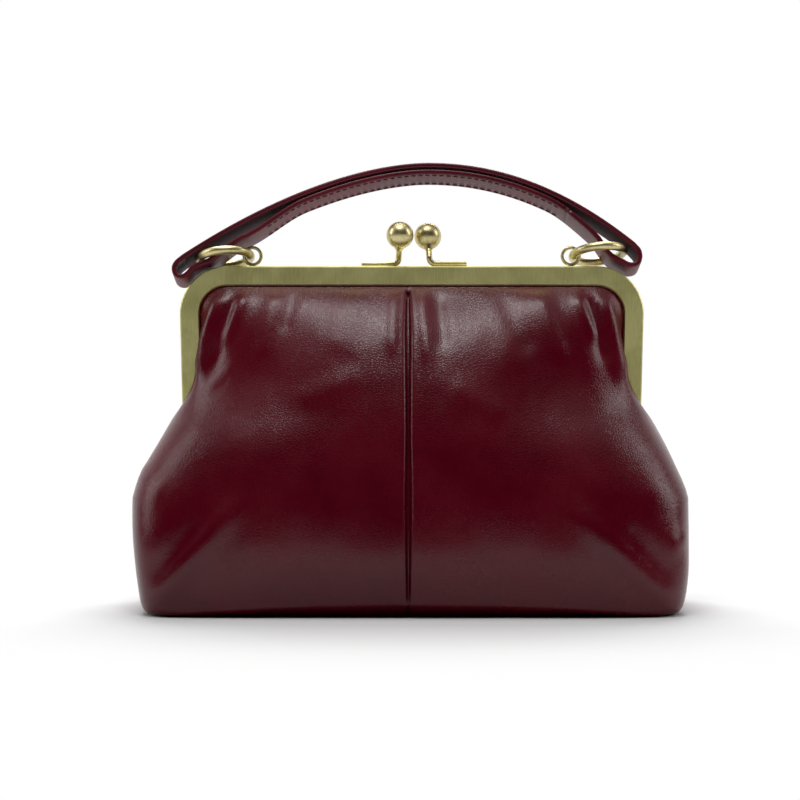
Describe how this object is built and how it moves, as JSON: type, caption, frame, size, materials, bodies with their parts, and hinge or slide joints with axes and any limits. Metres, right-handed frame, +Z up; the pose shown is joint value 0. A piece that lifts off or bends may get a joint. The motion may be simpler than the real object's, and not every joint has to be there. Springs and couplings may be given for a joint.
{
  "type": "kiss lock frame purse",
  "caption": "Soft leather pouch purse in a hinged brass frame that snaps shut with two ball tips, carried by a curved strap on wire rings.",
  "frame": {"origin": "on the table, under the middle of the purse", "axes": "+X to the right along the frame's top bar, +Y to the back, +Z up"},
  "size_m": [0.244, 0.0984, 0.1999],
  "materials": {
    "brass": "antique, brushed",
    "brass_polished": "antique, polished",
    "leather": "glossy pebble grain",
    "strap_leather": "glossy, stitched",
    "lining": "plain weave",
    "underlay": "matt",
    "paper": "twisted cord",
    "board": "plain"
  },
  "bodies": {
    "pouch": {"front_pouch_leather": "leather", "back_pouch_leather": "leather", "front_pouch_lining": "lining", "back_pouch_lining": "lining", "front_pleat_underlay": "underlay", "back_pleat_underlay": "underlay", "base_board": "board"},
    "front_half": {"front_frame": "brass", "left_hinge_rivet": "brass_polished", "right_hinge_rivet": "brass_polished", "front_clasp_stem": "brass_polished", "front_clasp_collar": "brass_polished", "front_clasp_ball": "brass_polished", "front_paper_cord": "paper", "front_upper_leather": "leather", "front_upper_lining": "lining"},
    "back_half": {"back_frame": "brass", "back_clasp_stem": "brass_polished", "back_clasp_collar": "brass_polished", "back_clasp_ball": "brass_polished", "left_strap_eye": "brass_polished", "right_strap_eye": "brass_polished", "back_paper_cord": "paper", "back_upper_leather": "leather", "back_upper_lining": "lining"},
    "left_ring": {"left_ring": "brass_polished"},
    "right_ring": {"right_ring": "brass_polished"},
    "strap": {"strap": "strap_leather"}
  },
  "joints": [
    {"name": "back_half_hinge", "type": "hinge", "parent": "pouch", "child": "back_half", "pos_m": [0, 0, 0.084], "axis": [1, 0, 0], "range_deg": [-42, 0]},
    {"name": "front_half_hinge", "type": "hinge", "parent": "pouch", "child": "front_half", "pos_m": [0, 0, 0.084], "axis": [1, 0, 0], "range_deg": [0, 42]},
    {"name": "strap_swing", "type": "hinge", "parent": "back_half", "child": "strap", "pos_m": [0, 0.0028, 0.1573], "axis": [1, 0, 0], "range_deg": [-5, 22]},
    {"name": "left_ring_swing", "type": "hinge", "parent": "back_half", "child": "left_ring", "pos_m": [-0.075, 0.0028, 0.1573], "axis": [1, 0, 0], "range_deg": [-5, 22]},
    {"name": "right_ring_swing", "type": "hinge", "parent": "back_half", "child": "right_ring", "pos_m": [0.075, 0.0028, 0.1573], "axis": [1, 0, 0], "range_deg": [-5, 22]}
  ],
  "couplings": [
    {"joint": "front_half_hinge", "follows": "back_half_hinge", "ratio": -1},
    {"joint": "left_ring_swing", "follows": "strap_swing", "ratio": 1},
    {"joint": "right_ring_swing", "follows": "strap_swing", "ratio": 1}
  ]
}
